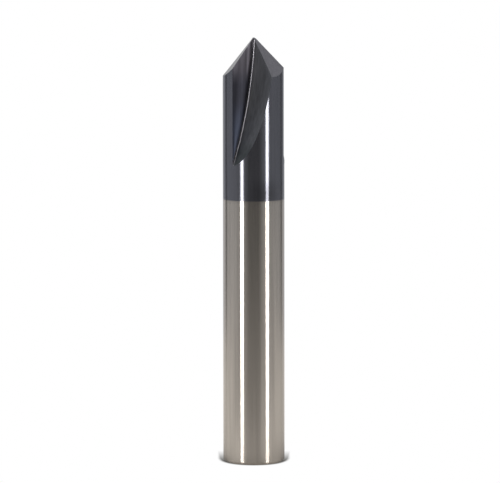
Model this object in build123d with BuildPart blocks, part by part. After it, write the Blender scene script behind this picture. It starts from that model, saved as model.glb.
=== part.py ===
from build123d import *
import os
from math import cos, radians, sin, sqrt, tan

# Chamfer mill: three straight flutes and a 90 degree point, ground from one
# round carbide bar. It cuts turning right-handed. Millimetres. It stands on its
# shank: the origin is the centre of the shank's end face, and +Z runs up the
# axis to the point.

# Bar
shank_diameter = 12.0
overall_length = 83.0
shank_end_chamfer = 0.4

# Point
point_angle = 90.0            # between opposite cutting edges
tip_blunting = 0.1            # ground off the sharp point, along the axis
relief_angle = 27.5           # fall of a tooth's end face, square to its edge

# Flutes
flute_count = 3
first_rake_heading = -134.8   # about +Z from +X, so that a flute faces -Y
rake_ahead_of_axis = 0.2      # the rake face stands this far before the axis

# Grinding wheel: its flat side leaves the rake face and its rim the floor
wheel_diameter = 146.0
wheel_corner_radius = 0.35
wheel_past_point = 4.4        # from the point up to the wheel's centre

# Derived sizes
shank_radius = shank_diameter / 2
wheel_radius = wheel_diameter / 2
wheel_centre_height = overall_length + wheel_past_point
wheel_width = shank_diameter  # runs out of the bar beside the flute
half_point_angle = radians(point_angle / 2)
relief = radians(relief_angle)

# Each cutting edge is a straight line in its rake face, and the end face behind
# it is one plane that holds the edge. The three planes meet on the axis, below
# the point where the edges are aimed.
edge_direction = Vector(sin(half_point_angle), 0, -cos(half_point_angle))
edge_square = Vector(cos(half_point_angle), 0, sin(half_point_angle))
end_face_normal = edge_square * cos(relief) - Vector(0, 1, 0) * sin(relief)
sharp_point_drop = rake_ahead_of_axis * tan(relief) / sin(half_point_angle)
edge_start = Vector(0, rake_ahead_of_axis, overall_length + tip_blunting + sharp_point_drop)
stock_reach = 4 * shank_diameter


# The space that the wheel grinds away for one flute, heading along +X. The rim
# comes down to the tool's axis level with the wheel's centre, so the flute gets
# shallower down the body and runs out on the wheel's own curve.
with BuildPart() as flute_space:
    with BuildSketch(Plane.XY.offset(wheel_centre_height)):
        with Locations((0, rake_ahead_of_axis)):
            Rectangle(wheel_radius, wheel_width, align=(Align.MIN, Align.MIN))
        rim_corner = vertices().group_by(Axis.X)[0].sort_by(Axis.Y)[0]
        fillet(rim_corner, wheel_corner_radius)
    revolve(axis=Axis((wheel_radius, 0, wheel_centre_height), (0, 1, 0)))

# The stock above one tooth's end face
with BuildPart() as relief_space:
    with BuildSketch(Plane(edge_start, x_dir=edge_direction, z_dir=end_face_normal)):
        Rectangle(stock_reach, stock_reach)
    extrude(amount=stock_reach)

with BuildPart() as chamfer_mill:
    # Round bar, chamfered at the shank's end
    with BuildSketch(Plane.XZ):
        with BuildLine():
            Polyline(
                (0, 0),
                (shank_radius - shank_end_chamfer, 0),
                (shank_radius, shank_end_chamfer),
                (shank_radius, overall_length),
                (0, overall_length),
                close=True,
            )
        make_face()
    revolve(axis=Axis.Z)

    # Point and flutes, one of each behind every cutting edge
    with PolarLocations(0, flute_count, start_angle=first_rake_heading):
        add(relief_space.part, mode=Mode.SUBTRACT)
        add(flute_space.part, mode=Mode.SUBTRACT)

chamfer_mill.part.label = "chamfer_mill"

os.makedirs("parts", exist_ok=True)
export_step(chamfer_mill.part, "parts/chamfer_mill.step")

# What the sizes come to
edge_reach = sqrt(shank_radius**2 - rake_ahead_of_axis**2)
shoulder_height = edge_start.Z - edge_reach / tan(half_point_angle)
flute_end_height = wheel_centre_height - sqrt(wheel_radius**2 - (wheel_radius - edge_reach) ** 2)
print(f"outer corners of the cutting edges at z = {shoulder_height:.2f}")
print(f"flutes run out at z = {flute_end_height:.2f}")
print(f"solids {len(chamfer_mill.part.solids())}, volume {chamfer_mill.part.volume:.1f}")
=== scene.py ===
"""Looks of the chamfer mill: bare ground shank, dark coated flutes and point, on a white table."""

import logging
import math
from dataclasses import dataclass
from enum import Enum

import bpy
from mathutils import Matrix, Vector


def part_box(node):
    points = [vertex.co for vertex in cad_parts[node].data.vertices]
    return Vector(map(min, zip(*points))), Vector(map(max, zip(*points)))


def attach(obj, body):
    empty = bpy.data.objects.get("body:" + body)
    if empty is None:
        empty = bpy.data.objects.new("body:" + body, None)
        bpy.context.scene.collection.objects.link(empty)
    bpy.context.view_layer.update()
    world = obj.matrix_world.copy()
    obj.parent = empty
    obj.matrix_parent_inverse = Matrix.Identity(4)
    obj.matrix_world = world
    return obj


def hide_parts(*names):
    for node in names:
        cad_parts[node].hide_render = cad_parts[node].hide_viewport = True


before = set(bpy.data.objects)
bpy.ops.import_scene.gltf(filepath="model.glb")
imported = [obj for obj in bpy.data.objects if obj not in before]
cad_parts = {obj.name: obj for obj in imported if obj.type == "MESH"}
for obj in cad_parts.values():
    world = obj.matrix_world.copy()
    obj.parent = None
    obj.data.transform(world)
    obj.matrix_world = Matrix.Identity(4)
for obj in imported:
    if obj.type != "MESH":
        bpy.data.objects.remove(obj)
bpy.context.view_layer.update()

log = logging.getLogger("chamfer_mill")

NODE = "chamfer_mill"
MM = 0.001
WHITE = (1.0, 1.0, 1.0)
# The mesh attribute that says what ground a face
MARK = "ground"
# Two numbers less than this apart are the same whole number
SAME_WHOLE = 0.5

Socket = bpy.types.NodeSocket
Colour = tuple[float, float, float]
Value = Socket | Colour | float
Spot = tuple[Socket, Socket, Socket]
Stops = tuple[tuple[float, float], ...]


class Ground(Enum):
    """What ground a face of the tool. The value is the face's mark in the mesh.

    The narrow corner between a flute's rake face and its floor is halved: ROOT is
    the half that turns away from the rake, VALLEY the half that meets the floor.
    """

    ROUND = 0
    END = 1
    FLOOR = 2
    RAKE = 3
    VALLEY = 4
    ROOT = 5


class Graph:
    """A node tree that is filled one named step at a time."""

    # A Mix node has sockets for every kind of data, and these are its colours
    MIX_FIRST = 6
    MIX_SECOND = 7
    MIX_RESULT = 2

    def __init__(self, tree: bpy.types.NodeTree) -> None:
        """Wraps a tree and empties it.

        Args:
            tree: The shader or geometry tree to fill.
        """
        self.tree = tree
        self.tree.nodes.clear()

    def node(self, kind: str, **settings: object) -> bpy.types.Node:
        """Adds a node.

        Args:
            kind: Blender's name for the node's type.
            settings: Properties of the node, such as its operation.

        Returns:
            The new node.
        """
        made = self.tree.nodes.new(kind)
        for name, value in settings.items():
            setattr(made, name, value)
        return made

    def put(self, value: Value, socket: Socket) -> None:
        """Links an output to a socket, or sets the socket to a plain value.

        Args:
            value: The output or the plain value.
            socket: The input that takes it.
        """
        if isinstance(value, bpy.types.NodeSocket):
            self.tree.links.new(value, socket)
        else:
            socket.default_value = value

    def math(self, operation: str, *values: Value) -> Socket:
        """Adds a Math node on up to three values.

        Args:
            operation: The node's operation, such as "MULTIPLY".
            values: Outputs or plain numbers, in order.

        Returns:
            The node's output.
        """
        made = self.node("ShaderNodeMath", operation=operation)
        for value, socket in zip(values, made.inputs):
            self.put(value, socket)
        return made.outputs[0]

    def length(self, x: Value, y: Value) -> Socket:
        """Gives how far the place (x, y) is from nought."""
        return self.math("SQRT", self.math("MULTIPLY_ADD", x, x, self.math("MULTIPLY", y, y)))

    def between(self, share: Value, first: float, second: float) -> Socket:
        """Goes from the first number to the second by a share of 0 to 1."""
        return self.math("MULTIPLY_ADD", share, second - first, first)

    def vector(self, x: Value = 0.0, y: Value = 0.0, z: Value = 0.0) -> Socket:
        """Joins three numbers or outputs into a vector.

        Args:
            x: The first number or output.
            y: The second.
            z: The third.

        Returns:
            The vector.
        """
        made = self.node("ShaderNodeCombineXYZ")
        for value, socket in zip((x, y, z), made.inputs):
            self.put(value, socket)
        return made.outputs[0]

    def split(self, vector: Socket) -> Spot:
        """Takes a vector apart.

        Args:
            vector: The vector's output.

        Returns:
            Its x, its y and its z.
        """
        made = self.node("ShaderNodeSeparateXYZ")
        self.put(vector, made.inputs[0])
        return tuple(made.outputs)

    def fade(self, value: Value, low: float, high: float, to_low: Value = 0.0,
             to_high: Value = 1.0) -> Socket:
        """Maps a value smoothly from one range to another.

        Args:
            value: The output to map.
            low: The value that gives to_low.
            high: The value that gives to_high.
            to_low: The result at and before low.
            to_high: The result at and after high.

        Returns:
            The mapped output.
        """
        made = self.node("ShaderNodeMapRange", interpolation_type="SMOOTHSTEP")
        for item, socket in zip((value, low, high, to_low, to_high), made.inputs):
            self.put(item, socket)
        return made.outputs[0]

    def mix(self, share: Value, first: Value, second: Value) -> Socket:
        """Mixes two colours.

        Args:
            share: How much of the second colour, 0 to 1.
            first: An output or an (r, g, b) colour.
            second: An output or an (r, g, b) colour.

        Returns:
            The mixed colour.
        """
        made = self.node("ShaderNodeMix", data_type="RGBA")
        self.put(share, made.inputs[0])
        for item, place in ((first, self.MIX_FIRST), (second, self.MIX_SECOND)):
            self.put((*item, 1.0) if isinstance(item, tuple) else item, made.inputs[place])
        return made.outputs[self.MIX_RESULT]

    def scale(self, colour: Value, factor: Value) -> Socket:
        """Multiplies a colour by a number.

        Args:
            colour: An output or an (r, g, b) colour.
            factor: The number, or a grey colour.

        Returns:
            The multiplied colour.
        """
        made = self.node("ShaderNodeVectorMath", operation="SCALE")
        self.put(colour, made.inputs[0])
        self.put(factor, made.inputs["Scale"])
        return made.outputs[0]

    def steps(self, value: Value, stops: Stops) -> Socket:
        """Reads a grey level off a line of stops.

        Args:
            value: The output to look up, 0 to 1.
            stops: Pairs of a value and its level, in rising order.

        Returns:
            The level, as a grey colour.
        """
        made = self.node("ShaderNodeValToRGB")
        self.put(value, made.inputs[0])
        ramp = made.color_ramp
        while len(ramp.elements) < len(stops):
            ramp.elements.new(1.0)
        for element, (position, level) in zip(ramp.elements, stops):
            element.position = position
            element.color = (level, level, level, 1.0)
        return made.outputs[0]

    def around(self, x: Value, y: Value, stops: Stops) -> Socket:
        """Reads a grey level off a line of stops by compass bearing.

        Args:
            x: How far to the right a place or a direction is.
            y: How far it is behind the tool.
            stops: Pairs of a bearing, in degrees from the camera's side and
                positive to the right, and its level.

        Returns:
            The level, as a grey colour.
        """
        bearing = self.math("ARCTAN2", x, self.math("MULTIPLY", y, -1.0))
        place = self.math("MULTIPLY_ADD", bearing, 1 / (2 * math.pi), 0.5)
        return self.steps(place, tuple((degrees / 360 + 0.5, level) for degrees, level in stops))


class MeshGraph(Graph):
    """A geometry tree, with the steps that work on meshes."""

    def moved(self, geometry: Socket, move: Socket, turn: Socket | None = None) -> Socket:
        """Turns geometry about the origin, then moves it.

        Args:
            geometry: The geometry's output.
            move: A vector output.
            turn: A vector output of Euler angles, or None.

        Returns:
            The moved geometry.
        """
        made = self.node("GeometryNodeTransform")
        self.put(geometry, made.inputs["Geometry"])
        self.put(move, made.inputs["Translation"])
        if turn is not None:
            self.put(turn, made.inputs["Rotation"])
        return made.outputs[0]

    def marked(self, mesh: Socket, ground: Ground, chosen: Socket | bool = True) -> Socket:
        """Marks the chosen faces of a mesh with what grinds them.

        Args:
            mesh: The mesh's output.
            ground: What grinds the faces.
            chosen: Which faces, or True for all of them.

        Returns:
            The marked mesh.
        """
        made = self.node("GeometryNodeStoreNamedAttribute", data_type="INT", domain="FACE")
        self.put(mesh, made.inputs["Geometry"])
        self.put(chosen, made.inputs["Selection"])
        made.inputs["Name"].default_value = MARK
        made.inputs["Value"].default_value = ground.value
        return made.outputs[0]

    def boolean(self, operation: str, first: Socket, second: Socket) -> Socket:
        """Cuts or intersects closed meshes.

        Args:
            operation: "DIFFERENCE" or "INTERSECT".
            first: The mesh that is worked on.
            second: The other mesh, or instances of it.

        Returns:
            The resulting mesh.
        """
        made = self.node("GeometryNodeMeshBoolean", operation=operation, solver="EXACT")
        into = "Mesh 1" if operation == "DIFFERENCE" else "Mesh 2"
        self.put(first, made.inputs[into])
        self.put(second, made.inputs["Mesh 2"])
        return made.outputs["Mesh"]


def in_scene(name: str, data: bpy.types.ID) -> bpy.types.Object:
    """Makes an object and links it to the scene.

    Args:
        name: The object's name.
        data: Its mesh, lamp or camera.

    Returns:
        The new object.
    """
    made = bpy.data.objects.new(name, data)
    bpy.context.scene.collection.objects.link(made)
    return made


@dataclass(frozen=True)
class FlutePath:
    """Where the wheel's rim ran, seen from the tool's axis.

    It tells a finish how far a place on a flute's faces is from the flute's root,
    in the same way for every flute. Lengths are in metres.
    """

    bar_radius: float
    wheel_radius: float
    wheel_height: float

    def root_reach(self, graph: Graph, height: Socket) -> Socket:
        """Gives how far the flute's root is from the axis.

        Args:
            graph: The material's graph.
            height: The height to give it at.

        Returns:
            The distance.
        """
        below = graph.math("SUBTRACT", self.wheel_height, height)
        inside = graph.math("SUBTRACT", self.wheel_radius**2, graph.math("MULTIPLY", below, below))
        return graph.math("SUBTRACT", self.wheel_radius, graph.math("SQRT", inside))

    def across_rake(self, graph: Graph, spot: Spot) -> Socket:
        """Measures across the rake face, 0 at the root and 1 at the bar's outside.

        Args:
            graph: The material's graph.
            spot: The place on the tool.

        Returns:
            The share of the way across.
        """
        x, y, z = spot
        root = self.root_reach(graph, z)
        width = graph.math("SUBTRACT", self.bar_radius, root)
        return graph.math("DIVIDE", graph.math("SUBTRACT", graph.length(x, y), root), width)

    def along_floor(self, graph: Graph, spot: Spot) -> Socket:
        """Measures along the floor from the root, as a share of the bar's radius.

        Args:
            graph: The material's graph.
            spot: The place on the tool.

        Returns:
            The distance over the bar's radius.
        """
        x, y, z = spot
        root = self.root_reach(graph, z)
        out = graph.length(x, y)
        square = graph.math("SUBTRACT", graph.math("MULTIPLY", out, out),
                            graph.math("MULTIPLY", root, root))
        along = graph.math("SQRT", graph.math("MAXIMUM", square, 0.0))
        return graph.math("DIVIDE", along, self.bar_radius)


@dataclass(frozen=True)
class CarbideFinish:
    """Ground carbide, bare below and coated above one line round the bar.

    The two stretches share one material, so that the line between them can be
    soft. Lengths and heights are in metres. A level or a tone multiplies a colour.
    """

    name: str
    ground: Ground
    coat_line: float

    # Colours. The coat may have one more near the point, which is painted light, and one low in the flute,
    # which is painted shade on the floor and painted light on the rake
    bare: Colour = (0.475, 0.447, 0.424)
    coat: Colour = (0.151, 0.157, 0.187)
    coat_painted_light_at_point: Colour | None = None
    coat_painted_low_in_flute: Colour | None = None
    grazing: Colour = (0.75, 0.75, 0.76)

    # Gloss
    bare_metal: float = 0.96
    coat_metal: float = 0.92
    bare_roughness: float = 0.175
    coat_roughness: float = 0.22
    anisotropy: float = 1.0
    along_the_axis: bool = True

    # Heights over which the coat starts and changes to its colours of painted light and shade near the
    # point and low in the flute
    coat_fade: float = 0.3 * MM
    point_from: float = 74.0 * MM
    point_full: float = 78.5 * MM
    low_from: float = 72.0 * MM
    low_full: float = 65.0 * MM

    # Fine lines that the grinding leaves along the tool
    streak_width: float = 0.45 * MM
    streak_stretch: float = 0.02
    streak_detail: float = 2.0
    streak_noise: tuple[float, float] = (0.3, 0.7)
    streak_depth: float = 0.06

    # A dull spot on the coat, and the bare carbide darkened just below the coat
    dull_spot: tuple[float, float, float] = (2.4 * MM, -5.5 * MM, 53.0 * MM)
    dull_reach: float = 4.5 * MM
    dull_level: float = 0.62
    burn_reach: float = 0.9 * MM
    burn_level: float = 0.9

    # Painted light and shade from a flute's root outwards, as tones: on the rake face, there near the
    # point, on the floor
    flute: FlutePath | None = None
    across_rake: Stops = ()
    across_point: Stops = ()
    along_floor: Stops = ()

    def material(self) -> bpy.types.Material:
        """Builds the material.

        Returns:
            A new material, ready for a Set Material node.
        """
        made = bpy.data.materials.new(self.name)
        made.use_nodes = True
        graph = Graph(made.node_tree)
        place = graph.node("ShaderNodeTexCoord").outputs["Object"]
        spot = graph.split(place)
        height = spot[2]
        half_fade = self.coat_fade / 2
        coated = graph.fade(height, self.coat_line - half_fade, self.coat_line + half_fade)
        burnt = graph.fade(height, self.coat_line - self.burn_reach, self.coat_line, 1.0, self.burn_level)
        colour = graph.mix(coated, graph.scale(self.bare, burnt), self.coat_colour(graph, place, spot))
        metal = graph.between(coated, self.bare_metal, self.coat_metal)
        roughness = graph.between(coated, self.bare_roughness, self.coat_roughness)
        shader = graph.node("ShaderNodeBsdfPrincipled", distribution="GGX")
        graph.put(graph.scale(colour, self.streaks(graph, place)), shader.inputs["Base Color"])
        graph.put(metal, shader.inputs["Metallic"])
        graph.put(roughness, shader.inputs["Roughness"])
        shader.inputs["Specular Tint"].default_value = (*self.grazing, 1.0)
        self.stretch_highlights(graph, shader)
        output = graph.node("ShaderNodeOutputMaterial")
        graph.put(shader.outputs[0], output.inputs["Surface"])
        return made

    def coat_colour(self, graph: Graph, place: Socket, spot: Spot) -> Socket:
        """Gives the coat's colour, with its painted light and shade up the tool and across a flute.

        Args:
            graph: The material's graph.
            place: Object coordinates.
            spot: The same, taken apart.

        Returns:
            The colour.
        """
        height = spot[2]
        # The coat's colours near the point and low in the flute are painted light and shade
        painted_near_point_mask = graph.fade(height, self.point_from, self.point_full)
        painted_low_in_flute_mask = graph.fade(height, self.low_from, self.low_full)
        coat = graph.mix(painted_low_in_flute_mask, self.coat, self.coat_painted_low_in_flute or self.coat)
        coat = graph.mix(painted_near_point_mask, coat, self.coat_painted_light_at_point or self.coat)
        coat = graph.scale(coat, self.dulled(graph, place))
        if self.across_rake:
            across = self.flute.across_rake(graph, spot)
            painted_flute_tones = graph.mix(painted_near_point_mask, graph.steps(across, self.across_rake),
                              graph.steps(across, self.across_point))
            coat = graph.scale(coat, painted_flute_tones)
        if self.along_floor:
            along = self.flute.along_floor(graph, spot)
            coat = graph.scale(coat, graph.steps(along, self.along_floor))
        return coat

    def dulled(self, graph: Graph, place: Socket) -> Socket:
        """Darkens the coat round the dull spot near its lower edge.

        Args:
            graph: The material's graph.
            place: Object coordinates.

        Returns:
            The factor for the coat's colour.
        """
        away = graph.node("ShaderNodeVectorMath", operation="DISTANCE")
        graph.put(place, away.inputs[0])
        graph.put(self.dull_spot, away.inputs[1])
        return graph.fade(away.outputs["Value"], 0.0, self.dull_reach, self.dull_level, 1.0)

    def streaks(self, graph: Graph, place: Socket) -> Socket:
        """Adds the fine lines that run along the tool.

        Args:
            graph: The material's graph.
            place: Object coordinates.

        Returns:
            The factor for the carbide's and the coat's colour.
        """
        stretch = graph.node("ShaderNodeMapping")
        graph.put(place, stretch.inputs["Vector"])
        graph.put((1.0, 1.0, self.streak_stretch), stretch.inputs["Scale"])
        noise = graph.node("ShaderNodeTexNoise")
        graph.put(stretch.outputs[0], noise.inputs["Vector"])
        noise.inputs["Scale"].default_value = 1 / self.streak_width
        noise.inputs["Detail"].default_value = self.streak_detail
        return graph.fade(noise.outputs[0], *self.streak_noise,
                          1 - self.streak_depth, 1 + self.streak_depth)

    def stretch_highlights(self, graph: Graph, shader: bpy.types.Node) -> None:
        """Draws the highlights out round the tool, or along it.

        Args:
            graph: The material's graph.
            shader: The Principled node.
        """
        quarter_turn = 0.25
        shader.inputs["Anisotropic"].default_value = self.anisotropy
        shader.inputs["Anisotropic Rotation"].default_value = quarter_turn if self.along_the_axis else 0.0
        around = graph.node("ShaderNodeTangent", direction_type="RADIAL", axis="Z")
        graph.put(around.outputs[0], shader.inputs["Tangent"])


@dataclass(frozen=True)
class GroundTool:
    """The tool itself: a round bar, pointed by three flat faces and fluted by a wheel.

    The diameter and the length come from the frame. The rest are the sizes that
    it was ground to, in metres and degrees, and how finely the mesh follows them.
    """

    diameter: float
    length: float

    # Bar and point
    end_chamfer: float = 0.4 * MM
    point_angle: float = 90.0
    tip_blunting: float = 0.1 * MM
    relief_angle: float = 27.5
    pyramid_depth: float = 1.1  # of the solid that makes the point, over the tool's length

    # Flutes and grinding wheel
    flute_count: int = 3
    first_rake_heading: float = -134.8
    rake_ahead_of_axis: float = 0.2 * MM
    wheel_diameter: float = 146.0 * MM
    wheel_corner_radius: float = 0.35 * MM
    wheel_past_point: float = 4.4 * MM

    # Finish
    coated_length: float = 31.4 * MM

    # Mesh
    bar_sides: int = 288
    ring_spacing: float = 2.0 * MM
    rim_sweep: float = 30.0
    rim_steps: int = 150
    corner_steps: int = 24
    sharp_angle: float = 15.0

    # The wheel grinds each of these where its surface's outward direction along Y is below this
    valley_turn: float = -0.02
    root_turn: float = -0.62
    rake_turn: float = -0.999

    @classmethod
    def from_frame(cls) -> "GroundTool":
        """Takes the tool's diameter and length from its CAD node's box."""
        low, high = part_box(NODE)
        return cls(diameter=high.x - low.x, length=high.z)

    def build(self) -> bpy.types.Object:
        """Makes the tool's mesh and dresses it.

        Returns:
            A plain mesh object that stands for the CAD node.
        """
        tool = in_scene("ground_tool", self.evaluate(self.tree(self.finishes())))
        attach(tool, "root")
        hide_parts(NODE)
        return tool

    def finishes(self) -> dict[Ground, bpy.types.Material]:
        """Builds the finishes.

        Returns:
            One material for each kind of ground face.
        """
        line = self.length - self.coated_length
        flute = FlutePath(self.diameter / 2, self.wheel_diameter / 2, self.length + self.wheel_past_point)
        # Painted shade and light across the flute's faces, darkest by the root
        rake_painted_shade_tones = ((0.06, 0.35), (0.14, 0.42), (0.28, 0.8), (0.46, 1.0), (0.62, 0.85), (0.8, 0.42),
                      (1.0, 0.34))
        point_painted_light_shade = ((0.05, 0.3), (0.14, 0.42), (0.21, 1.3), (0.25, 1.1), (0.31, 0.7), (0.36, 0.68),
                       (0.45, 0.92), (0.56, 0.85), (0.66, 0.7), (0.78, 0.87), (0.87, 0.85), (1.0, 0.5))
        floor_painted_shade = ((0.05, 0.7), (0.2, 1.0))
        looks = (
            CarbideFinish("carbide_round_ground", Ground.ROUND, line),
            CarbideFinish("carbide_end_face", Ground.END, line, coat=(0.142, 0.141, 0.159),
                          grazing=WHITE, anisotropy=0.4, along_the_axis=False),
            # The floor's darker coat low in the flute and its darker tone near the root are painted shade
            CarbideFinish("carbide_flute_floor", Ground.FLOOR, line, coat=(0.161, 0.168, 0.188),
                          coat_painted_low_in_flute=(0.104, 0.117, 0.128), low_from=64 * MM, low_full=60.5 * MM,
                          coat_roughness=0.32, anisotropy=0.6, along_the_axis=False,
                          streak_depth=0.12, flute=flute, along_floor=floor_painted_shade),
            # The rake's lighter coats near the point and low in the flute, and its tones across the face,
            # are painted light and shade
            CarbideFinish("carbide_rake_face", Ground.RAKE, line, coat=(0.13, 0.135, 0.178),
                          coat_painted_light_at_point=(0.245, 0.236, 0.282), coat_painted_low_in_flute=(0.195, 0.227, 0.335),
                          coat_roughness=0.3, anisotropy=0.6, along_the_axis=False,
                          point_from=73.6 * MM, point_full=78.2 * MM, streak_depth=0.15,
                          flute=flute, across_rake=rake_painted_shade_tones, across_point=point_painted_light_shade),
            CarbideFinish("carbide_flute_valley", Ground.VALLEY, line, coat=(0.182, 0.182, 0.208),
                          coat_roughness=0.3, coat_metal=1.0, anisotropy=0.0),
            # The root's near-black coat is painted shade deep in the flute's corner
            CarbideFinish("carbide_flute_root_painted_shade", Ground.ROOT, line, coat=(0.03, 0.03, 0.036),
                          coat_roughness=0.3, coat_metal=1.0, anisotropy=0.0),
        )
        return {look.ground: look.material() for look in looks}

    def inputs(self) -> dict[str, float]:
        """Names the geometry tree's inputs.

        Returns:
            Each input's value by its name.
        """
        return {
            "Diameter": self.diameter,
            "Length": self.length,
            "End Chamfer": self.end_chamfer,
            "Point Angle": math.radians(self.point_angle),
            "Tip Blunting": self.tip_blunting,
            "Relief Angle": math.radians(self.relief_angle),
            "First Rake Heading": math.radians(self.first_rake_heading),
            "Rake Ahead Of Axis": self.rake_ahead_of_axis,
            "Wheel Diameter": self.wheel_diameter,
            "Wheel Corner Radius": self.wheel_corner_radius,
            "Wheel Past Point": self.wheel_past_point,
        }

    def tree(self, materials: dict[Ground, bpy.types.Material]) -> bpy.types.NodeTree:
        """Builds the geometry tree that grinds the bar.

        Args:
            materials: The finish for each kind of ground face.

        Returns:
            The tree, with one named input for each size.
        """
        made = bpy.data.node_groups.new("grind_the_bar", "GeometryNodeTree")
        for name in self.inputs():
            made.interface.new_socket(name, in_out="INPUT", socket_type="NodeSocketFloat")
        made.interface.new_socket("Flutes", in_out="INPUT", socket_type="NodeSocketInt")
        made.interface.new_socket("Tool", in_out="OUTPUT", socket_type="NodeSocketGeometry")
        graph = MeshGraph(made)
        sizes = graph.node("NodeGroupInput").outputs
        bar = graph.marked(self.bar(graph, sizes), Ground.ROUND)
        point = graph.marked(self.point(graph, sizes), Ground.END)
        wheel = graph.marked(self.wheel(graph, sizes), Ground.FLOOR)
        facing = graph.split(graph.node("GeometryNodeInputNormal").outputs[0])[1]
        for ground, turn in ((Ground.VALLEY, self.valley_turn), (Ground.ROOT, self.root_turn),
                             (Ground.RAKE, self.rake_turn)):
            wheel = graph.marked(wheel, ground, graph.math("LESS_THAN", facing, turn))
        pointed = graph.boolean("INTERSECT", bar, point)
        fluted = graph.boolean("DIFFERENCE", pointed, self.flutes(graph, sizes, wheel))
        result = graph.node("NodeGroupOutput")
        graph.put(self.dressed(graph, fluted, materials), result.inputs[0])
        return made

    def bar(self, graph: MeshGraph, sizes: bpy.types.NodeOutputs) -> Socket:
        """Makes the round bar, chamfered at the shank's end.

        The lowest ring of a plain cylinder comes in by the chamfer, and the ring
        above it comes down to where the chamfer ends.

        Args:
            graph: The tree's graph.
            sizes: The tree's inputs by name.

        Returns:
            The bar's mesh.
        """
        radius = graph.math("MULTIPLY", sizes["Diameter"], 0.5)
        rings = round(self.length / self.ring_spacing)
        cylinder = graph.node("GeometryNodeMeshCylinder", fill_type="NGON")
        cylinder.inputs["Vertices"].default_value = self.bar_sides
        cylinder.inputs["Side Segments"].default_value = rings
        graph.put(radius, cylinder.inputs["Radius"])
        graph.put(sizes["Length"], cylinder.inputs["Depth"])
        middle = graph.math("MULTIPLY", sizes["Length"], 0.5)
        standing = graph.moved(cylinder.outputs["Mesh"], graph.vector(z=middle))
        x, y, z = graph.split(graph.node("GeometryNodeInputPosition").outputs[0])
        ring = graph.math("MULTIPLY", graph.math("DIVIDE", z, sizes["Length"]), float(rings))
        lowest = graph.math("COMPARE", ring, 0.0, SAME_WHOLE)
        second = graph.math("COMPARE", ring, 1.0, SAME_WHOLE)
        cut = graph.math("DIVIDE", sizes["End Chamfer"], radius)
        inward = graph.math("SUBTRACT", 1.0, graph.math("MULTIPLY", lowest, cut))
        fall = graph.math("SUBTRACT", sizes["End Chamfer"], z)
        place = graph.vector(graph.math("MULTIPLY", x, inward), graph.math("MULTIPLY", y, inward),
                             graph.math("MULTIPLY_ADD", second, fall, z))
        shaped = graph.node("GeometryNodeSetPosition")
        graph.put(standing, shaped.inputs["Geometry"])
        graph.put(place, shaped.inputs["Position"])
        return shaped.outputs[0]

    def point(self, graph: MeshGraph, sizes: bpy.types.NodeOutputs) -> Socket:
        """Makes the three-sided pyramid that holds the teeth's end faces.

        Args:
            graph: The tree's graph.
            sizes: The tree's inputs by name.

        Returns:
            The pyramid's mesh.
        """
        half = graph.math("MULTIPLY", sizes["Point Angle"], 0.5)
        along = graph.math("DIVIDE", 1.0, graph.math("TANGENT", half))
        across = graph.math("DIVIDE", graph.math("TANGENT", sizes["Relief Angle"]),
                            graph.math("SINE", half))
        slope = graph.length(along, across)
        depth = graph.math("MULTIPLY", sizes["Length"], self.pyramid_depth)
        # The corners of a triangle are twice as far from its middle as its sides
        reach = graph.math("DIVIDE", graph.math("MULTIPLY", depth, 2.0), slope)
        pyramid = graph.node("GeometryNodeMeshCone", fill_type="NGON")
        pyramid.inputs["Vertices"].default_value = 3
        pyramid.inputs["Radius Top"].default_value = 0.0
        graph.put(reach, pyramid.inputs["Radius Bottom"])
        graph.put(depth, pyramid.inputs["Depth"])
        apex = graph.math("ADD", sizes["Length"], sizes["Tip Blunting"])
        behind_edge = graph.math("ARCTAN2", across, along)
        first_face = graph.math("SUBTRACT", sizes["First Rake Heading"], behind_edge)
        turn = graph.math("SUBTRACT", first_face, math.pi / 3)
        return graph.moved(pyramid.outputs["Mesh"], graph.vector(z=graph.math("SUBTRACT", apex, depth)),
                           graph.vector(z=turn))

    def wheel(self, graph: MeshGraph, sizes: bpy.types.NodeOutputs) -> Socket:
        """Makes the stretch of the grinding wheel's rim that cuts a flute heading along +X.

        Args:
            graph: The tree's graph.
            sizes: The tree's inputs by name.

        Returns:
            The wheel's mesh.
        """
        radius = graph.math("MULTIPLY", sizes["Wheel Diameter"], 0.5)
        rim = graph.node("GeometryNodeCurveArc", mode="RADIUS")
        rim.inputs["Resolution"].default_value = self.rim_steps
        graph.put(radius, rim.inputs["Radius"])
        rim.inputs["Start Angle"].default_value = math.pi
        rim.inputs["Sweep Angle"].default_value = math.radians(self.rim_sweep)
        width = sizes["Diameter"]
        section = graph.node("GeometryNodeCurvePrimitiveQuadrilateral", mode="RECTANGLE")
        graph.put(width, section.inputs["Width"])
        graph.put(width, section.inputs["Height"])
        rounded = graph.node("GeometryNodeFilletCurve", mode="POLY")
        graph.put(section.outputs[0], rounded.inputs["Curve"])
        graph.put(sizes["Wheel Corner Radius"], rounded.inputs["Radius"])
        rounded.inputs["Count"].default_value = self.corner_steps
        inward = graph.math("MULTIPLY", width, -0.5)
        sideways = graph.math("MULTIPLY_ADD", width, 0.5, sizes["Rake Ahead Of Axis"])
        placed = graph.moved(rounded.outputs[0], graph.vector(inward, sideways))
        swept = graph.node("GeometryNodeCurveToMesh")
        graph.put(rim.outputs["Curve"], swept.inputs["Curve"])
        graph.put(placed, swept.inputs["Profile Curve"])
        swept.inputs["Fill Caps"].default_value = True
        centre_height = graph.math("ADD", sizes["Length"], sizes["Wheel Past Point"])
        return graph.moved(swept.outputs[0], graph.vector(radius, 0.0, centre_height),
                           graph.vector(math.pi / 2))

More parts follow.
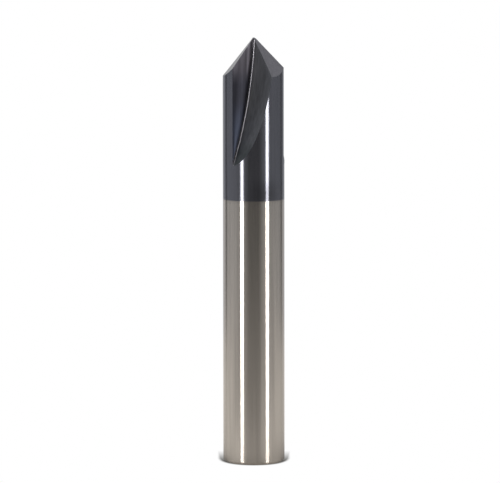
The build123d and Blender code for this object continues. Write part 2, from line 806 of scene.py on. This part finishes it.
    def flutes(self, graph: MeshGraph, sizes: bpy.types.NodeOutputs, wheel: Socket) -> Socket:
        """Repeats the wheel round the axis, once for each flute.

        Args:
            graph: The tree's graph.
            sizes: The tree's inputs by name.
            wheel: The wheel's mesh for a flute heading along +X.

        Returns:
            The wheels, as instances.
        """
        spots = graph.node("GeometryNodePoints")
        graph.put(sizes["Flutes"], spots.inputs["Count"])
        index = graph.node("GeometryNodeInputIndex").outputs[0]
        pitch = graph.math("DIVIDE", 2 * math.pi, sizes["Flutes"])
        heading = graph.math("MULTIPLY_ADD", index, pitch, sizes["First Rake Heading"])
        placed = graph.node("GeometryNodeInstanceOnPoints")
        graph.put(spots.outputs[0], placed.inputs["Points"])
        graph.put(wheel, placed.inputs["Instance"])
        graph.put(graph.vector(z=heading), placed.inputs["Rotation"])
        return placed.outputs[0]

    def dressed(self, graph: MeshGraph, mesh: Socket,
                materials: dict[Ground, bpy.types.Material]) -> Socket:
        """Shades the mesh smooth between its edges and sets the finishes.

        Args:
            graph: The tree's graph.
            mesh: The ground tool's mesh.
            materials: The finish for each kind of ground face.

        Returns:
            The finished geometry.
        """
        smooth = graph.node("GeometryNodeSetShadeSmooth", domain="FACE")
        graph.put(mesh, smooth.inputs["Geometry"])
        angle = graph.node("GeometryNodeInputMeshEdgeAngle").outputs["Unsigned Angle"]
        crisp = graph.node("GeometryNodeSetShadeSmooth", domain="EDGE")
        graph.put(smooth.outputs[0], crisp.inputs["Geometry"])
        graph.put(graph.math("GREATER_THAN", angle, math.radians(self.sharp_angle)),
                  crisp.inputs["Selection"])
        crisp.inputs["Shade Smooth"].default_value = False
        real = graph.node("GeometryNodeRealizeInstances")
        graph.put(crisp.outputs[0], real.inputs[0])
        geometry = real.outputs[0]
        for ground, material in materials.items():
            mark = graph.node("GeometryNodeInputNamedAttribute", data_type="INT")
            mark.inputs["Name"].default_value = MARK
            chosen = graph.math("COMPARE", mark.outputs["Attribute"], float(ground.value), SAME_WHOLE)
            finished = graph.node("GeometryNodeSetMaterial")
            graph.put(geometry, finished.inputs["Geometry"])
            graph.put(chosen, finished.inputs["Selection"])
            finished.inputs["Material"].default_value = material
            geometry = finished.outputs[0]
        return geometry

    def evaluate(self, tree: bpy.types.NodeTree) -> bpy.types.Mesh:
        """Runs the tree once and returns its result as a plain mesh.

        Args:
            tree: The geometry tree.

        Returns:
            The evaluated mesh, with no modifier left on anything.
        """
        blank = in_scene("bar_blank", bpy.data.meshes.new("bar_blank"))
        modifier = blank.modifiers.new("grind", "NODES")
        modifier.node_group = tree
        values = {**self.inputs(), "Flutes": self.flute_count}
        for item in tree.interface.items_tree:
            if item.in_out == "INPUT":
                modifier[item.identifier] = values[item.name]
        bpy.context.view_layer.update()
        evaluated = blank.evaluated_get(bpy.context.evaluated_depsgraph_get())
        mesh = bpy.data.meshes.new_from_object(evaluated)
        blank.modifiers.remove(modifier)
        bpy.data.objects.remove(blank)
        return mesh


@dataclass(frozen=True)
class WhiteTable:
    """The oval white table top that the tool stands on. Lengths are in metres.

    The camera sees it as white as the backdrop, but for the shade that the tool
    throws beside and behind its foot. The tool mirrors the table's own light
    instead, which falls off towards the front.
    """

    foot_radius: float
    half_width: float = 0.19
    front: float = -0.3
    back: float = 0.185
    corners: int = 96
    white: Colour = (0.85, 0.815, 0.755)
    # The table glows with painted light, though it is no lamp
    painted_glow: float = 0.35

    # Levels of the light painted into the table's white and glow, by the distance behind the tool and by
    # bearing in degrees
    light: Stops = (
        (-0.3, 0.0),
        (-0.2, 0.19),
        (-0.12, 0.44),
        (-0.06, 0.49),
        (-0.032, 0.65),
        (-0.016, 0.8),
        (0.0, 0.95),
        (0.03, 1.0),
        (0.1, 1.12),
    )
    painted_lamp_halo: Stops = (
        (-95, 1.05),
        (-75, 1.1),
        (-60, 1.25),
        (-45, 1.35),
        (-30, 1.2),
        (-18, 1.0),
        (18, 0.97),
        (30, 1.3),
        (48, 1.3),
        (66, 1.15),
        (85, 1.0),
        (110, 0.95),
    )

    # The shade that the camera sees: its rim from the foot outwards, and how it runs back
    shade: Colour = (0.1, 0.095, 0.087)
    shade_rim: tuple[float, float] = (-0.35 * MM, 0.75 * MM)
    shade_growth: float = 0.55 * MM
    shade_grows: tuple[float, float] = (-3.0 * MM, 2.5 * MM)
    shade_starts: float = -1.0 * MM
    shade_ends: float = 11.5 * MM

    # The painted shade that the tool mirrors, wide round the foot and short beside and behind it
    contact_shade_level: float = 0.64
    contact_reach: float = 24.0 * MM
    contact_skew: float = 0.24
    corner_shade_level: float = 0.6
    corner_reach: float = 6.5 * MM
    corner_from: float = -0.8  # times the foot's radius, behind the axis

    def build(self) -> bpy.types.Object:
        """Makes the table top.

        Returns:
            The staged top, level with the tool's foot.
        """
        mesh = bpy.data.meshes.new("table_top")
        middle = (self.front + self.back) / 2
        half_depth = (self.back - self.front) / 2
        turns = [2 * math.pi * corner / self.corners for corner in range(self.corners)]
        ring = [(self.half_width * math.cos(turn), middle + half_depth * math.sin(turn), 0.0)
                for turn in turns]
        mesh.from_pydata(ring, [], [tuple(range(self.corners))])
        mesh.materials.append(self.material())
        table = in_scene("table_top", mesh)
        return table

    def material(self) -> bpy.types.Material:
        """Builds the table's finish: white with painted light, shade and glow where the tool mirrors it,
        and self-lit where the camera looks.

        Returns:
            The material.
        """
        made = bpy.data.materials.new("table_white")
        made.use_nodes = True
        graph = Graph(made.node_tree)
        x, y, _ = graph.split(graph.node("ShaderNodeTexCoord").outputs["Object"])
        # The table's white carries painted light and shade where the tool mirrors it
        white = graph.scale(self.white, self.painted_table_light(graph, x, y))
        diffuse = graph.node("ShaderNodeBsdfDiffuse")
        graph.put(white, diffuse.inputs["Color"])
        painted_own_light = graph.node("ShaderNodeEmission")
        graph.put(white, painted_own_light.inputs["Color"])
        painted_own_light.inputs["Strength"].default_value = self.painted_glow
        lit = graph.node("ShaderNodeAddShader")
        graph.put(diffuse.outputs[0], lit.inputs[0])
        graph.put(painted_own_light.outputs[0], lit.inputs[1])
        # The camera sees the table white, with the foot's shadow painted in
        backdrop = graph.node("ShaderNodeEmission")
        graph.put(graph.mix(self.clear(graph, x, y), self.shade, WHITE), backdrop.inputs["Color"])
        seen = graph.node("ShaderNodeLightPath").outputs["Is Camera Ray"]
        mixed = graph.node("ShaderNodeMixShader")
        graph.put(seen, mixed.inputs[0])
        graph.put(lit.outputs[0], mixed.inputs[1])
        graph.put(backdrop.outputs[0], mixed.inputs[2])
        output = graph.node("ShaderNodeOutputMaterial")
        graph.put(mixed.outputs[0], output.inputs["Surface"])
        return made

    def painted_table_light(self, graph: Graph, x: Socket, y: Socket) -> Socket:
        """Gives the light and shade painted on a place on the table, as the tool mirrors it.

        Args:
            graph: The material's graph.
            x: The place's distance to the right of the axis.
            y: Its distance behind the axis.

        Returns:
            The factor for the table's white.
        """
        out = graph.length(x, y)
        depth = self.back - self.front
        ahead = graph.steps(graph.math("MULTIPLY_ADD", y, 1 / depth, -self.front / depth),
                            tuple(((place - self.front) / depth, level) for place, level in self.light))
        painted_halo_level = graph.around(x, y, self.painted_lamp_halo)
        # Painted shade round the foot, as the tool mirrors the table
        contact_shade = graph.fade(graph.math("MULTIPLY_ADD", x, -self.contact_skew, out), self.foot_radius,
                              self.foot_radius + self.contact_reach, self.contact_shade_level, 1.0)
        corner_shade_level = graph.fade(y, self.corner_from * self.foot_radius, 0.0, 1.0, self.corner_shade_level)
        corner = graph.fade(out, self.foot_radius, self.foot_radius + self.corner_reach, corner_shade_level, 1.0)
        shaded = graph.math("MULTIPLY", contact_shade, corner)
        return graph.math("MULTIPLY", graph.math("MULTIPLY", ahead, painted_halo_level), shaded)

    def clear(self, graph: Graph, x: Socket, y: Socket) -> Socket:
        """Gives how free of the tool's shade a place on the table is.

        The shade is a narrow rim round the front of the foot. It widens at the
        sides, runs straight back and fades out behind the foot.

        Args:
            graph: The material's graph.
            x: The place's distance to the right of the axis.
            y: Its distance behind the axis.

        Returns:
            The share of white, 0 in full shade.
        """
        reach = graph.length(x, graph.math("MINIMUM", y, 0.0))
        growth = graph.fade(y, *self.shade_grows, 0.0, self.shade_growth)
        rim_from, rim_to = (self.foot_radius + step for step in self.shade_rim)
        past_rim = graph.fade(graph.math("SUBTRACT", reach, growth), rim_from, rim_to)
        length = self.shade_ends - self.shade_starts
        far_behind = graph.math("MULTIPLY_ADD", y, 1 / length, -self.shade_starts / length)
        return graph.math("MAXIMUM", past_rim, graph.math("MINIMUM", far_behind, 1.0))


@dataclass(frozen=True)
class StripLamp:
    """A tall strip lamp at a compass bearing from the camera's side of the tool.

    It is two panels, one above the other, that meet at the seam. The lower one is
    the narrower. Lengths are in metres, and powers in watts for a square metre.
    """

    name: str
    bearing: float
    distance: float = 1.0
    seam: float = -0.05
    upper_width: float = 0.205
    upper_height: float = 0.62
    upper_watts_per_area: float = 41.0
    lower_width: float = 0.15
    lower_height: float = 0.2
    lower_watts_per_area: float = 28.0
    tint: Colour = (1.0, 0.96, 0.9)

    def build(self) -> list[bpy.types.Object]:
        """Adds the lamp's panels.

        Returns:
            The upper and the lower panel.
        """
        upper_centre = self.seam + self.upper_height / 2
        lower_centre = self.seam - self.lower_height / 2
        return [self.panel("upper", self.upper_width, self.upper_height, upper_centre,
                           self.upper_watts_per_area),
                self.panel("lower", self.lower_width, self.lower_height, lower_centre,
                           self.lower_watts_per_area)]

    def panel(self, part: str, width: float, height: float, centre: float,
              watts_per_area: float) -> bpy.types.Object:
        """Adds one panel, facing the tool's axis.

        Args:
            part: Which of the two panels it is.
            width: Its width.
            height: Its height.
            centre: The height of its centre above the table.
            watts_per_area: Its power for each square metre.

        Returns:
            The panel's lamp.
        """
        name = f"{self.name}_{part}"
        data = bpy.data.lights.new(name, "AREA")
        data.shape = "RECTANGLE"
        data.size = width
        data.size_y = height
        data.energy = watts_per_area * width * height
        data.color = self.tint
        lamp = in_scene(name, data)
        turn = math.radians(self.bearing)
        lamp.location = (self.distance * math.sin(turn), -self.distance * math.cos(turn), centre)
        lamp.rotation_euler = (math.pi / 2, 0.0, turn)
        lamp.visible_camera = False
        return lamp


@dataclass(frozen=True)
class Studio:
    """The white room as the tool's faces mirror it, with a dark side behind the camera.

    Bearings are in degrees from the camera's side, positive to the right. A wall
    fades to its top and the ceiling starts at shares of the way straight up.
    """

    bearings: Stops = (
        (-180, 0.8),
        (-148, 0.8),
        (-134, 0.66),
        (-130, 0.14),
        (-124, 0.14),
        (-119, 0.48),
        (-70, 0.48),
        (-61, 0.35),
        (-48, 0.42),
        (-38, 0.38),
        (-30, 0.24),
        (-18, 0.065),
        (19, 0.065),
        (31, 0.22),
        (40, 0.36),
        (110, 0.395),
        (119, 0.36),
        (124, 0.16),
        (130, 0.16),
        (136, 0.5),
        (148, 0.72),
        (180, 0.75),
    )
    wall_top_from: float = 0.2
    wall_top_full: float = 0.45
    wall_top: float = 0.6
    overhead: float = 0.9
    overhead_lean: float = 30.0
    overhead_from: float = 0.6
    overhead_full: float = 0.7

    def build(self) -> bpy.types.World:
        """Builds the room as the scene's world, white to the camera.

        Returns:
            The world.
        """
        made = bpy.data.worlds.new("studio")
        bpy.context.scene.world = made
        made.use_nodes = True
        graph = Graph(made.node_tree)
        x, y, up = graph.split(graph.node("ShaderNodeTexCoord").outputs["Generated"])
        wall = graph.around(x, y, self.bearings)
        lean = math.radians(self.overhead_lean)
        risen = graph.math("MULTIPLY_ADD", up, math.cos(lean), graph.math("MULTIPLY", y, math.sin(lean)))
        wall_shade = graph.fade(up, self.wall_top_from, self.wall_top_full, 1.0, self.wall_top)
        room = graph.mix(graph.fade(risen, self.overhead_from, self.overhead_full),
                         graph.scale(wall, wall_shade), (self.overhead,) * 3)
        seen = graph.node("ShaderNodeLightPath").outputs["Is Camera Ray"]
        light = graph.node("ShaderNodeBackground")
        graph.put(graph.mix(seen, room, WHITE), light.inputs["Color"])
        output = graph.node("ShaderNodeOutputWorld")
        graph.put(light.outputs[0], output.inputs["Surface"])
        return made


@dataclass(frozen=True)
class Viewpoint:
    """The photo's camera: a long lens from the front, a little above the tool.

    The place is in metres, the angles in degrees, the lens and the sensor in
    millimetres.
    """

    place: tuple[float, float, float] = (-0.000616, -0.7917, 0.1332)
    pitch_down: float = 6.487
    roll: float = 0.07
    lens: float = 294.1
    sensor_width: float = 36.0

    def build(self) -> bpy.types.Object:
        """Adds the camera and makes it the scene's own.

        Returns:
            The camera.
        """
        data = bpy.data.cameras.new("viewpoint")
        data.sensor_fit = "HORIZONTAL"
        data.sensor_width = self.sensor_width
        data.lens = self.lens
        camera = in_scene("viewpoint", data)
        camera.location = self.place
        # An unturned camera looks straight down, and one turned by 90 degrees looks level
        camera.rotation_euler = (math.radians(90 - self.pitch_down), math.radians(self.roll), 0.0)
        bpy.context.scene.camera = camera
        return camera


def main() -> None:
    """Builds the tool, its table, the lamps, the room and the camera."""
    logging.basicConfig(level=logging.INFO, format="%(name)s: %(message)s")
    ground_tool = GroundTool.from_frame()
    tool = ground_tool.build()
    log.info("tool: %d faces, %d finishes", len(tool.data.polygons), len(tool.data.materials))
    table = WhiteTable(ground_tool.diameter / 2).build()
    log.info("table: %.2f m wide", table.dimensions.x)
    for lamp in (StripLamp("strip_left", -44.7), StripLamp("strip_right", 52.1)):
        log.info("lamp: %s, %d panels at %.1f degrees", lamp.name, len(lamp.build()), lamp.bearing)
    room = Studio().build()
    log.info("room: %s", room.name)
    camera = Viewpoint().build()
    log.info("camera: %.0f mm lens", camera.data.lens)
    bpy.context.scene.view_settings.view_transform = "Standard"
    log.info("sizes written")


if __name__ == "__main__":
    main()
